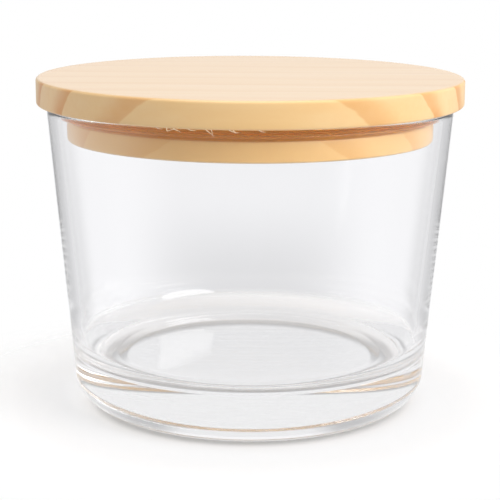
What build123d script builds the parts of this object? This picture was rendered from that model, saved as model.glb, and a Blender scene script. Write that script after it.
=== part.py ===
from build123d import *
import os

# Empty candle jar: a pressed glass cup, a one-piece turned pine lid, and the
# clear silicone ring that sits in the lid's groove. Millimetres, +Z up, the
# underside of the glass on Z = 0 and the jar's axis on Z.

# Glass cup
jar_height = 78.9
base_radius = 45.6          # outer wall carried down to Z = 0, before the heel is rounded
rim_radius = 52.5           # outer wall at the rim
heel_radius = 8.6
wall_at_rim = 2.2
wall_at_floor = 3.0
floor_height = 12.5         # top of the thick glass base, at its outer ring
floor_corner = 7.2
lip_radius = 1.0
step_outer_radius = 34.9    # inside the ring the floor drops by a soft, low step
step_inner_radius = 32.4
step_depth = 0.7
step_outer_ease = 1.6
step_inner_ease = 3.0

# Pine lid
lid_gap = 0.1               # between the rim and the underside of the disc
disc_radius = 55.0
disc_thickness = 6.7
disc_top_ease = 0.8
disc_under_ease = 0.6
neck_radius = 44.5
groove_height = 3.3
flange_radius = 47.4
flange_height = 5.3
flange_ease = 0.5

# Silicone ring
ring_bore_gap = 0.08        # radial, round the lid's neck
ring_end_gap = 0.1          # above and below the ring in its groove
ring_body_radius = 47.9
fin_radius = 49.85          # just short of the glass
fin_thickness = 0.5
fin_heights = (0.85, 2.1)   # each fin's underside above the ring's own
fin_tip_ease = 0.2

disc_under = jar_height + lid_gap
lid_top = disc_under + disc_thickness
groove_bottom = disc_under - groove_height
plug_bottom = groove_bottom - flange_height


def turned(outline, rounds):
    """Revolve an (r, z) outline about Z after rounding the listed corners."""
    with BuildPart() as solid:
        with BuildSketch(Plane.XZ) as section:
            with BuildLine():
                Polyline(*outline, close=True)
            make_face()
            for (r, z), radius in rounds:
                corner = section.vertices().sort_by_distance((r, z, 0))[0]
                fillet(corner, radius)
        revolve(axis=Axis.Z)
    return solid.part


def glass_jar():
    """Tapered cup with a thick flat base, rounded heel, rounded lip and a low step in its floor."""
    heel = (base_radius, 0)
    rim_outside = (rim_radius, jar_height)
    rim_inside = (rim_radius - wall_at_rim, jar_height)
    taper = (rim_radius - base_radius) / jar_height
    floor_edge = (base_radius + taper * floor_height - wall_at_floor, floor_height)
    step_top = (step_outer_radius, floor_height)
    step_foot = (step_inner_radius, floor_height - step_depth)
    outline = [
        (0, 0),
        heel,
        rim_outside,
        rim_inside,
        floor_edge,
        step_top,
        step_foot,
        (0, floor_height - step_depth),
    ]
    rounds = [
        (heel, heel_radius),
        (rim_outside, lip_radius),
        (rim_inside, lip_radius),
        (floor_edge, floor_corner),
        (step_top, step_outer_ease),
        (step_foot, step_inner_ease),
    ]
    return turned(outline, rounds)


def pine_lid():
    """Disc that rests on the rim, with a grooved plug turned below it in one piece."""
    plug_edge = (flange_radius, plug_bottom)
    flange_edge = (flange_radius, groove_bottom)
    disc_under_edge = (disc_radius, disc_under)
    disc_top_edge = (disc_radius, lid_top)
    outline = [
        (0, plug_bottom),
        plug_edge,
        flange_edge,
        (neck_radius, groove_bottom),
        (neck_radius, disc_under),
        disc_under_edge,
        disc_top_edge,
        (0, lid_top),
    ]
    rounds = [
        (plug_edge, flange_ease),
        (flange_edge, flange_ease),
        (disc_under_edge, disc_under_ease),
        (disc_top_edge, disc_top_ease),
    ]
    return turned(outline, rounds)


def seal_ring():
    """Ring for the lid's groove, with two thin fins that reach out to the glass."""
    bore = neck_radius + ring_bore_gap
    low = groove_bottom + ring_end_gap
    high = disc_under - ring_end_gap
    tips = []
    fins = []
    for height in fin_heights:
        under = low + height
        over = under + fin_thickness
        tip = [(fin_radius, under), (fin_radius, over)]
        tips += tip
        fins += [(ring_body_radius, under), *tip, (ring_body_radius, over)]
    outline = [
        (bore, low),
        (ring_body_radius, low),
        *fins,
        (ring_body_radius, high),
        (bore, high),
    ]
    rounds = [(tip, fin_tip_ease) for tip in tips]
    return turned(outline, rounds)


os.makedirs("parts", exist_ok=True)
export_step(glass_jar(), "parts/glass_jar.step")
export_step(pine_lid(), "parts/lid.step")
export_step(seal_ring(), "parts/seal_ring.step")
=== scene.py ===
from math import cos, pi, radians, sin, tan

import bmesh
import bpy
from mathutils import Matrix, Vector, noise
from mathutils.geometry import interpolate_bezier


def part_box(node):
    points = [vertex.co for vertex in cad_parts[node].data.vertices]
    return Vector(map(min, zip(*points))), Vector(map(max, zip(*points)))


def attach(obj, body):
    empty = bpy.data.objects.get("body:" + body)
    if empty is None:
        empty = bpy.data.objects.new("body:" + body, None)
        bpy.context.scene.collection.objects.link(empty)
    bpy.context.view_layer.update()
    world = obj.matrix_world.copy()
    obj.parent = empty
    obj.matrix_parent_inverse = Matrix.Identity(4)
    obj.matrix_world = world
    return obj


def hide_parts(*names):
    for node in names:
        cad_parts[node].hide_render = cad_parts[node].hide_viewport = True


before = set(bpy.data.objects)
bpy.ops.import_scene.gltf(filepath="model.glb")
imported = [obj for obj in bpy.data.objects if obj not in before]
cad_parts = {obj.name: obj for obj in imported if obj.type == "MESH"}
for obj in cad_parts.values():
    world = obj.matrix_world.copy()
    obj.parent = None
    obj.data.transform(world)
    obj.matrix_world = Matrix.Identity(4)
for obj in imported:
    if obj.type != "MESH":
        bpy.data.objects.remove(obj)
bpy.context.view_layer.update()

mm = 0.001
fullTurn = 2 * pi
scene = bpy.context.scene


class Value:
    # one output of a node; Python's operators on it add Math nodes
    def __init__(self, shader, socket):
        self.shader = shader
        self.socket = socket

    def maths(self, operation, *terms):
        return self.shader.add("ShaderNodeMath", {"operation": operation}, dict(enumerate(terms)))

    def __add__(self, other):
        return self.maths("ADD", self, other)

    def __radd__(self, other):
        return self.maths("ADD", other, self)

    def __sub__(self, other):
        return self.maths("SUBTRACT", self, other)

    def __rsub__(self, other):
        return self.maths("SUBTRACT", other, self)

    def __mul__(self, other):
        return self.maths("MULTIPLY", self, other)

    def __rmul__(self, other):
        return self.maths("MULTIPLY", other, self)

    def __truediv__(self, other):
        return self.maths("DIVIDE", self, other)

    def fraction(self):
        return self.maths("FRACT", self)

    def magnitude(self):
        return self.maths("ABSOLUTE", self)

    def ramp(self, low, high):
        # 0 up to low, 1 from high, smooth between
        inputs = {"Value": self, "From Min": low, "From Max": high}
        return self.shader.add("ShaderNodeMapRange", {"interpolation_type": "SMOOTHSTEP"}, inputs)


class Shader:
    # the nodes of one new material or world
    def __init__(self, owner, coordinates="Object"):
        owner.use_nodes = True
        self.owner = owner
        self.tree = owner.node_tree
        self.tree.nodes.clear()
        self.point = self.add("ShaderNodeTexCoord", {}, {}, coordinates)

    def add(self, kind, settings, inputs, output=0):
        node = self.tree.nodes.new(kind)
        for name, setting in settings.items():
            setattr(node, name, setting)
        for name, value in inputs.items():
            if isinstance(value, Value):
                self.tree.links.new(value.socket, node.inputs[name])
            else:
                node.inputs[name].default_value = value
        return Value(self, node.outputs[output]) if node.outputs else None

    def axes(self, vector):
        return [self.add("ShaderNodeSeparateXYZ", {}, {"Vector": vector}, axis) for axis in "XYZ"]

    def mix(self, factor, first, second):
        # a colour mix, by way of the Mix node's colour sockets, which are numbers 6 and 7
        inputs = {0: factor, 6: first, 7: second}
        return self.add("ShaderNodeMix", {"data_type": "RGBA"}, inputs, 2)

    def stretched(self, scale):
        return self.add("ShaderNodeMapping", {}, {"Vector": self.point, "Scale": scale})

    def noise(self, vector, scale, detail=2.0, roughness=0.5):
        inputs = {"Vector": vector, "Scale": scale, "Detail": detail, "Roughness": roughness}
        return self.add("ShaderNodeTexNoise", {}, inputs)

    def bump(self, height, distance, strength=1.0):
        return self.add("ShaderNodeBump", {}, {"Height": height, "Distance": distance, "Strength": strength})

    def finish(self, inputs):
        surface = self.add("ShaderNodeBsdfPrincipled", {}, inputs)
        self.add("ShaderNodeOutputMaterial", {}, {"Surface": surface})
        return self.owner


def newShader(name):
    return Shader(bpy.data.materials.new(name))


# camera, light and floor
camera = {
    "distance": 400.4 * mm,     # from the jar's axis, along -Y
    "height": 127.8 * mm,
    "tiltDown": 0.217,
    "swing": -0.0003,
    "roll": 0.005,
    "lens": 111.6,
    "nearest": 0.01,
    "farthest": 20,
}


def makeCamera():
    data = bpy.data.cameras.new("camera")
    data.lens = camera["lens"]
    data.clip_start = camera["nearest"]
    data.clip_end = camera["farthest"]
    eye = bpy.data.objects.new("camera", data)
    turn = Matrix.Rotation(camera["swing"], 4, "Z")
    tilt = Matrix.Rotation(pi / 2 - camera["tiltDown"], 4, "X")
    roll = Matrix.Rotation(camera["roll"], 4, "Z")
    place = Matrix.Translation((0, -camera["distance"], camera["height"]))
    eye.matrix_world = place @ turn @ tilt @ roll
    scene.collection.objects.link(eye)
    scene.camera = eye


studio = {
    # brightness of each part of the room, and the headings from straight behind where it fades in or out
    "window": 0.99,
    "windowEdge": (radians(12), radians(22)),
    "wall": 0.88,
    "wallStart": (radians(26), radians(48)),
    "wallEnd": (radians(95), radians(140)),
    "room": 0.60,
    "front": 0.46,
    "shadow": 0.175,            # how much darker the ground is where the jar's soft shadow falls
    "shadowTop": (-0.25, -0.19),
    "shadowSide": (radians(1), radians(8)),
    # sines of the height above the horizon where the walls give way to the ceiling, and where they darken
    "top": (0.40, 0.75),
    "dim": (0.02, 0.12),
    "dimming": 0.14,
    "skyColour": (0.985, 0.985, 1.0, 1),
    "floorColour": (0.39, 0.39, 0.395, 1),
    "floorGlow": 0.61,
    # a painted soft shadow round the jar: the glow's share near the jar, and the radii where it starts and
    # stops growing
    "floorPaintedShadow": (0.86, 46 * mm, 76 * mm),
    # the ring of shadow in the gap under the jar's heel: its depth, and the radii where it grows and fades
    "contact": (0.40, 34 * mm, 38 * mm, 40 * mm, 44 * mm),
    "floorFade": (60 * mm, 98 * mm),        # the floor fades into the white beyond it
    "key": {
        "place": (0.92, -0.76, 0.60),
        "size": 0.95,
        "power": 13.0,
        "colour": (1.0, 0.985, 0.97),
        "mirrored": False,      # its reflection would burn out the lid's top from behind
    },
    "overhead": {
        "place": (0.0, -0.1, 1.1),
        "size": 1.1,
        "power": 4.9,
        "colour": (1.0, 0.99, 0.97),
        "mirrored": True,
    },
}


def makeSky():
    # a white window behind, pale walls at the sides and a darker room in front
    sky = Shader(bpy.data.worlds.new("studioSky"), "Generated")
    x, y, z = sky.axes(sky.point)
    heading = x.maths("ARCTAN2", x, y).magnitude()
    behind = 1 - heading.ramp(*studio["windowEdge"])
    beside = heading.ramp(*studio["wallStart"]) * (1 - heading.ramp(*studio["wallEnd"]))
    facing = heading.ramp(*studio["wallEnd"])
    low = 1 - z.ramp(*studio["top"])
    lit = behind * (studio["window"] - studio["room"]) + beside * (studio["wall"] - studio["room"])
    strength = (lit - facing * (studio["room"] - studio["front"])) * low + studio["room"]
    shadow = (1 - z.ramp(*studio["shadowTop"])) * (1 - heading.ramp(*studio["shadowSide"])) * studio["shadow"]
    shade = 1 - z.ramp(*studio["dim"]) * studio["dimming"] - shadow
    roomLight = {"Color": studio["skyColour"], "Strength": strength * shade}
    room = sky.add("ShaderNodeBackground", {}, roomLight)
    plain = sky.add("ShaderNodeBackground", {}, {"Color": (1, 1, 1, 1)})
    seen = sky.add("ShaderNodeLightPath", {}, {}, "Is Camera Ray")
    shown = sky.add("ShaderNodeMixShader", {}, {0: seen, 1: room, 2: plain})
    sky.add("ShaderNodeOutputWorld", {}, {"Surface": shown})
    scene.world = sky.owner


def makeLight(name):
    light = studio[name]
    data = bpy.data.lights.new(name, "AREA")
    data.shape = "DISK"
    data.size = light["size"]
    data.energy = light["power"]
    data.color = light["colour"]
    lamp = bpy.data.objects.new(name, data)
    lamp.location = light["place"]
    lamp.visible_glossy = light["mirrored"]
    lamp.rotation_euler = (-Vector(light["place"])).to_track_quat("-Z", "Y").to_euler()
    scene.collection.objects.link(lamp)


def makeFloor():
    mesh = bmesh.new()
    bmesh.ops.create_circle(mesh, cap_ends=True, segments=96, radius=studio["floorFade"][1])
    floor = meshObject("floor", mesh, floorPaint())


def floorPaint():
    paint = newShader("floorPaint")
    mottle = paint.noise(paint.point, 30.0)
    rough = 0.6 + mottle * 0.1
    reach = paint.add("ShaderNodeVectorMath", {"operation": "LENGTH"}, {0: paint.point}, "Value")
    # painted shadow: the floor's glow is dimmed near the jar, standing in for the jar's soft shadow on the
    # floor
    least, start, stop = studio["floorPaintedShadow"]
    glow = paint.mix(reach.ramp(start, stop), (least, least, least, 1), (1, 1, 1, 1))
    depth, inner, full, leaving, outer = studio["contact"]
    shadow = reach.ramp(inner, full) * (1 - reach.ramp(leaving, outer)) * depth
    glow = paint.mix(shadow, glow, (0, 0, 0, 1))
    return paint.finish({
        "Alpha": 1 - reach.ramp(*studio["floorFade"]),
        "Base Color": paint.mix(shadow, studio["floorColour"], (0, 0, 0, 1)),
        "Roughness": rough,
        "Specular IOR Level": 0.0,
        "Emission Color": glow,
        "Emission Strength": studio["floorGlow"],
    })


# mesh helpers
def meshObject(name, mesh, material):
    for face in mesh.faces:
        face.smooth = True
    data = bpy.data.meshes.new(name)
    mesh.to_mesh(data)
    mesh.free()
    data.materials.append(material)
    item = bpy.data.objects.new(name, data)
    scene.collection.objects.link(item)
    return item


def outline(mesh, corners, closed=False):
    # corners are (radius, height, rounding, segments) in the XZ half plane, joined in order
    chain = [mesh.verts.new((radius, 0, height)) for radius, height, *rest in corners]
    following = chain[1:] + chain[:1] if closed else chain[1:]
    for pair in zip(chain, following):
        mesh.edges.new(pair)
    for corner, (radius, height, rounding, segments) in zip(chain, corners):
        if rounding:
            roundCorner(mesh, corner, rounding, segments)


def roundCorner(mesh, corner, rounding, segments):
    arms = [edge.other_vert(corner).co - corner.co for edge in corner.link_edges]
    reach = rounding / tan(arms[0].angle(arms[1]) / 2)
    bmesh.ops.bevel(
        mesh, geom=[corner], offset=reach, offset_type="OFFSET", affect="VERTICES",
        segments=segments, profile=0.5, material=-1, clamp_overlap=False)


def divideLongEdges(mesh, longest):
    for edge in list(mesh.edges):
        cuts = int(edge.calc_length() / longest)
        if cuts:
            bmesh.ops.subdivide_edges(mesh, edges=[edge], cuts=cuts)


def turnOutline(mesh, steps):
    # a full turn about Z, closed at the seam and at the poles
    parts = mesh.verts[:] + mesh.edges[:]
    bmesh.ops.spin(
        mesh, geom=parts, cent=(0, 0, 0), axis=(0, 0, 1), dvec=(0, 0, 0),
        angle=fullTurn, steps=steps, use_merge=True, use_duplicate=False)
    bmesh.ops.remove_doubles(mesh, verts=mesh.verts[:], dist=0.002 * mm)
    bmesh.ops.recalc_face_normals(mesh, faces=mesh.faces[:])


# glass cup
glassLow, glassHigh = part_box("glass_jar")
glass = {
    "height": glassHigh[2],
    "rimRadius": 52.5 * mm,
    "baseRadius": 45.6 * mm,
    "heelRounding": 8.6 * mm,
    "wallAtRim": 2.2 * mm,
    "wallAtFloor": 3.0 * mm,
    "floorHeight": 12.5 * mm,
    "floorRounding": 7.2 * mm,
    "lipRounding": 1.05 * mm,
    "stepInside": 32.4 * mm,        # the floor rises a little between these radii
    "stepOutside": 34.9 * mm,
    "stepHeight": 0.7 * mm,
    "stepOutsideRounding": 1.6 * mm,
    "stepInsideRounding": 3 * mm,
    "steps": 288,
    "longest": 1.2 * mm,            # longest piece of the outline
    "rippleHeight": 0.14 * mm,
    "rippleSpan": (13 * mm, 32 * mm),
    "rippleScale": (12, 12, 420),
    "rippleFade": 6,                # a higher power keeps the ripples nearer the sides
    "skinDepth": 1.5 * mm,          # only points this far in from the outer wall ripple
    "floorReach": 40 * mm,          # points nearer the axis than this belong to the floor
}


def glassCorners():
    taper = (glass["rimRadius"] - glass["baseRadius"]) / glass["height"]
    floorEdge = glass["baseRadius"] + taper * glass["floorHeight"] - glass["wallAtFloor"]
    rimInside = glass["rimRadius"] - glass["wallAtRim"]
    floorMiddle = glass["floorHeight"] - glass["stepHeight"]
    return [
        (0, 0, 0, 0),
        (glass["baseRadius"], 0, glass["heelRounding"], 24),
        (glass["rimRadius"], glass["height"], glass["lipRounding"], 8),
        (rimInside, glass["height"], glass["lipRounding"], 8),
        (floorEdge, glass["floorHeight"], glass["floorRounding"], 20),
        (glass["stepOutside"], glass["floorHeight"], glass["stepOutsideRounding"], 6),
        (glass["stepInside"], floorMiddle, glass["stepInsideRounding"], 6),
        (0, floorMiddle, 0, 0),
    ]


def makeGlass():
    mesh = bmesh.new()
    outline(mesh, glassCorners())
    divideLongEdges(mesh, glass["longest"])
    turnOutline(mesh, glass["steps"])
    rippleWall(mesh)
    cup = meshObject("glassCup", mesh, clearGlass())
    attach(cup, "jar")
    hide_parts("glass_jar")
    print("glass cup:", len(cup.data.polygons), "faces")


def rippleWall(mesh):
    # faint ripples left inside the wall at its sides, where the glass cooled against the plunger
    low, high = glass["rippleSpan"]
    middle = (low + high) / 2
    taper = (glass["rimRadius"] - glass["baseRadius"]) / glass["height"]
    for vert in mesh.verts:
        radius = Vector((vert.co.x, vert.co.y)).length
        outside = glass["baseRadius"] + taper * vert.co.z
        inWall = outside - radius >= glass["skinDepth"] and radius >= glass["floorReach"]
        if not (low < vert.co.z < high and inWall):
            continue
        fade = 1 - abs(vert.co.z - middle) / (high - middle)
        fade *= (abs(vert.co.x) / radius) ** glass["rippleFade"]
        swing = noise.noise(vert.co * Vector(glass["rippleScale"]))
        vert.co.xy *= 1 + glass["rippleHeight"] * swing * fade / radius


def clearGlass():
    paint = newShader("clearGlass")
    wave = paint.noise(paint.stretched((14, 14, 90)), 1.0, 2.0)
    haze = paint.noise(paint.point, 60.0, 3.0)
    rough = haze.ramp(0.55, 0.8) * 0.02
    return paint.finish({
        "Base Color": (0.992, 0.992, 0.994, 1),
        "Roughness": rough,
        "IOR": 1.5,
        "Transmission Weight": 1.0,
        "Normal": paint.bump(wave, 0.05 * mm, 0.1),
    })


# pine lid
lidLow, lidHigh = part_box("lid")
lid = {
    "top": lidHigh[2],
    "plugBottom": lidLow[2],
    "discRadius": 55.0 * mm,
    "discThickness": 6.7 * mm,
    "neckRadius": 44.5 * mm,
    "grooveHeight": 3.3 * mm,
    "flangeRadius": 47.4 * mm,
    "flangeRounding": 0.5 * mm,
    "underRounding": 0.6 * mm,
    "topRounding": 0.8 * mm,
    "steps": 256,
    "longest": 1.4 * mm,
}


def lidCorners():
    under = lid["top"] - lid["discThickness"]
    groove = under - lid["grooveHeight"]
    return [
        (0, lid["plugBottom"], 0, 0),
        (lid["flangeRadius"], lid["plugBottom"], lid["flangeRounding"], 5),
        (lid["flangeRadius"], groove, lid["flangeRounding"], 5),
        (lid["neckRadius"], groove, 0, 0),
        (lid["neckRadius"], under, 0, 0),
        (lid["discRadius"], under, lid["underRounding"], 5),
        (lid["discRadius"], lid["top"], lid["topRounding"], 6),
        (0, lid["top"], 0, 0),
    ]


def makeLid():
    mesh = bmesh.new()
    outline(mesh, lidCorners())
    divideLongEdges(mesh, lid["longest"])
    turnOutline(mesh, lid["steps"])
    cover = meshObject("pineLid", mesh, pine())
    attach(cover, "cover")
    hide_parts("lid")
    print("pine lid:", len(cover.data.polygons), "faces")


wood = {
    "pale": (0.92, 0.615, 0.28, 1),
    "late": (0.72, 0.29, 0.045, 1),
    # painted shade: a deep orange for the shaded recess of the groove
    "groove": (1.0, 0.53, 0.02, 1),
    # painted shade: a deeper golden tone for the wood under the disc, inside the glass
    "plug": (1.0, 0.60, 0.19, 1),
    "underside": (0.54, 0.48, 0.40, 1),
    "ringLine": -36.9 * mm,     # where one sharp ring line crosses the lid's top, along Y
    "ringWidth": 14.3 * mm,
    "ringSlope": 0.66,          # how far a ring moves towards +Y for each unit down
    "boardTurn": 0.023,
    "wander": 3.5 * mm,
    "lightStreak": (0.94, 0.82, 0.58, 1),
    "sides": (15 * mm, 55 * mm),            # distances from the middle where the rings grow stronger
    "insideTop": (78.9 * mm, 79.3 * mm),    # heights between which the wood leaves the glass
    "grooveShadeReach": (46 * mm, 47.2 * mm),    # radii and heights where the groove's painted shade fades
    "grooveShadeBottom": (74 * mm, 75.5 * mm),
    "undersideTop": (70.5 * mm, 70.9 * mm),
}


def pine():
    paint = newShader("pine")
    x, y, z = paint.axes(paint.point)
    wander = paint.noise(paint.stretched((16, 60, 150)), 1.0, 3.0) - 0.5
    across = y + (z - lid["top"]) * wood["ringSlope"] + x * wood["boardTurn"] + wander * wood["wander"]
    phase = ((across - wood["ringLine"]) / wood["ringWidth"]).fraction()
    patch = paint.noise(paint.stretched((45, 60, 90)), 1.0, 2.0)
    late = phase.ramp(0.0, 0.035) * (1 - phase.ramp(0.06, 0.48)) * (0.45 + patch * 0.9)
    fibre = paint.noise(paint.stretched((25, 700, 500)), 1.0, 3.0, 0.6)
    streak = paint.noise(paint.stretched((10, 130, 160)), 1.0, 2.0)
    up = paint.axes(paint.add("ShaderNodeNewGeometry", {}, {}, "Normal"))[2].magnitude()
    top = up.ramp(0.6, 0.95)
    face = 1 - top * 0.75
    side = x.magnitude().ramp(*wood["sides"])
    tone = paint.mix(late * face * (0.5 + side * 0.4), wood["pale"], wood["late"])
    inside = 1 - z.ramp(*wood["insideTop"])
    grain = fibre * (1 - inside * 0.85)
    tone = paint.mix((grain - 0.5) * (0.22 - top * 0.12) + 0.08, tone, wood["late"])
    # painted shade: below the disc the wood is mixed towards a deeper golden tone, standing in for the warm
    # bounced light in the disc's shade
    tone = paint.mix(inside * 0.55, tone, wood["plug"])
    flat = paint.add("ShaderNodeVectorMath", {"operation": "MULTIPLY"}, {0: paint.point, 1: (1, 1, 0)})
    reach = paint.add("ShaderNodeVectorMath", {"operation": "LENGTH"}, {0: flat}, "Value")
    # painted shade: inside the groove the wood is mixed towards a deep orange, standing in for the shade and
    # warm bounce light in the recess
    groove = (1 - reach.ramp(*wood["grooveShadeReach"])) * z.ramp(*wood["grooveShadeBottom"]) * inside
    tone = paint.mix(groove * 0.9, tone, wood["groove"])
    tone = paint.mix((1 - z.ramp(*wood["undersideTop"])) * 0.4, tone, wood["underside"])
    tone = paint.mix(streak.ramp(0.35, 0.75) * (1 - inside) * 0.12, tone, wood["lightStreak"])
    rough = 0.42 + (fibre - 0.5) * 0.2
    return paint.finish({
        "Base Color": tone,
        "Roughness": rough,
        "Specular IOR Level": 0.8,
        "Coat Weight": 0.25 + top * 0.75,
        "Coat Roughness": 0.24,
        "Normal": paint.bump(grain * (1 - groove * 0.9), 0.06 * mm, 0.35),
    })


def paleFibre():
    paint = newShader("paleFibre")
    tint = paint.noise(paint.point, 900.0)
    return paint.finish({
        "Base Color": paint.mix(tint, (0.90, 0.74, 0.48, 1), (0.96, 0.86, 0.66, 1)),
        "Roughness": 0.6 + tint * 0.1,
    })


# fibres torn from the disc's lower edge when it was cut
torn = {
    "radius": 54.65 * mm,
    "rootHeight": 0.3 * mm,     # how far inside the wood each fibre starts
    "thickness": 0.12 * mm,
    "steps": 12,
    "sides": 6,
    "taper": 0.75,              # the share of its thickness that a fibre loses by its tip
    # millimetres along the edge from its front, then (along, outwards, up) from there to each
    # of two handles and the tip
    "fibres": [
        (-19.4, (-0.2, 0.1, -1.9), (0.5, 0.2, -0.1), (2.6, 0.0, -0.55)),
        (-18.0, (0.6, 0.1, -0.9), (1.4, 0.2, -0.4), (2.0, 0.1, -1.1)),
        (-10.4, (0.8, 0.1, -0.7), (1.6, 0.2, -1.0), (2.3, 0.1, -1.9)),
        (-8.9, (0.1, 0.1, -0.6), (0.5, 0.1, -1.0), (0.3, 0.1, -1.5)),
        (-5.0, (0.7, 0.1, -0.6), (1.2, 0.1, -0.5), (1.9, 0.1, -0.9)),
        (-3.9, (0.2, 0.1, -0.7), (0.9, 0.1, -1.0), (1.3, 0.1, -0.7)),
        (-22.3, (0.5, 0.1, -0.5), (1.0, 0.1, -0.6), (1.8, 0.1, -0.5)),
        (-14.6, (0.6, 0.1, -0.5), (1.4, 0.1, -0.6), (2.2, 0.1, -0.5)),
        (1.8, (0.5, 0.1, -0.5), (1.1, 0.1, -0.6), (1.7, 0.1, -0.6)),
    ],
}


def edgePoint(along, outwards, up):
    # a point near the disc's lower edge, from millimetres along it, outwards and up
    turn = along * mm / lid["discRadius"]
    reach = torn["radius"] + outwards * mm
    under = lid["top"] - lid["discThickness"] + torn["rootHeight"]
    return Vector((reach * sin(turn), -reach * cos(turn), under + up * mm))


def addFibre(mesh, knots):
    points = interpolate_bezier(*knots, torn["steps"])
    last = len(points) - 1
    rings = []
    for step, point in enumerate(points):
        ahead = (points[min(step + 1, last)] - points[max(step - 1, 0)]).normalized()
        side = ahead.cross(Vector((point.x, point.y, 0))).normalized()
        lift = side.cross(ahead)
        half = torn["thickness"] * (1 - torn["taper"] * step / last)
        turns = [fullTurn * place / torn["sides"] for place in range(torn["sides"])]
        around = [point + (side * cos(turn) + lift * sin(turn)) * half for turn in turns]
        rings.append([mesh.verts.new(place) for place in around])
    for near, far in zip(rings, rings[1:]):
        for place in range(torn["sides"]):
            following = (place + 1) % torn["sides"]
            mesh.faces.new((near[place], near[following], far[following], far[place]))
    mesh.faces.new(rings[0])
    mesh.faces.new(rings[-1])


def makeFibres():
    mesh = bmesh.new()
    for place, *reaches in torn["fibres"]:
        knots = [edgePoint(place + along, outwards, up) for along, outwards, up in [(0, 0, 0), *reaches]]
        addFibre(mesh, knots)
    bmesh.ops.recalc_face_normals(mesh, faces=mesh.faces[:])
    fibres = meshObject("tornFibres", mesh, paleFibre())
    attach(fibres, "cover")
    print("torn fibres:", len(fibres.data.polygons), "faces")


# silicone ring
ringLow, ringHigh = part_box("seal_ring")
ring = {
    "squeeze": 0.12 * mm,       # the ring fills its groove and grips the wood all round
    "low": ringLow[2],
    "high": ringHigh[2],
    "bore": 44.5 * mm,
    "body": 47.9 * mm,
    "lip": 49.85 * mm,
    "lipThickness": 0.5 * mm,
    "lipHeights": (0.85 * mm, 2.1 * mm),    # each lip's underside above the ring's own
    "tip": 0.22 * mm,
    "lipRoot": 0.25 * mm,
    "bodyRounding": 0.3 * mm,
    "steps": 256,
}


def ringCorners():
    low, high = ring["low"] - ring["squeeze"], ring["high"] + ring["squeeze"]
    bore, body = ring["bore"] - ring["squeeze"], ring["body"]
    corners = [(bore, low, 0, 0), (body, low, ring["bodyRounding"], 4)]
    for height in ring["lipHeights"]:
        under, over = ring["low"] + height, ring["low"] + height + ring["lipThickness"]
        corners += [
            (body, under, ring["lipRoot"], 4),
            (ring["lip"], under, ring["tip"], 4),
            (ring["lip"], over, ring["tip"], 4),
            (body, over, ring["lipRoot"], 4),
        ]
    return corners + [(body, high, ring["bodyRounding"], 4), (bore, high, 0, 0)]


def makeRing():
    mesh = bmesh.new()
    outline(mesh, ringCorners(), closed=True)
    turnOutline(mesh, ring["steps"])
    seal = meshObject("sealRing", mesh, silicone())
    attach(seal, "seal")
    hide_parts("seal_ring")
    print("seal ring:", len(seal.data.polygons), "faces")


def silicone():
    paint = newShader("silicone")
    cloud = paint.noise(paint.point, 120.0, 2.0)
    return paint.finish({
        "Base Color": (1.0, 0.955, 0.82, 1),
        "Roughness": 0.04 + cloud * 0.02,
        "IOR": 1.41,
        "Transmission Weight": 1.0,
    })


makeCamera()
makeSky()
makeLight("key")
makeLight("overhead")
makeFloor()
print("studio ready")
makeGlass()
makeLid()
makeFibres()
makeRing()

scene.view_settings.view_transform = "Standard"
scene.cycles.use_denoising = True
scene.cycles.blur_glossy = 0.0
scene.cycles.sample_clamp_indirect = 0.0
# a path takes many bounces to get out of the thick base
scene.cycles.max_bounces = 48
scene.cycles.transmission_bounces = 40
scene.cycles.glossy_bounces = 36
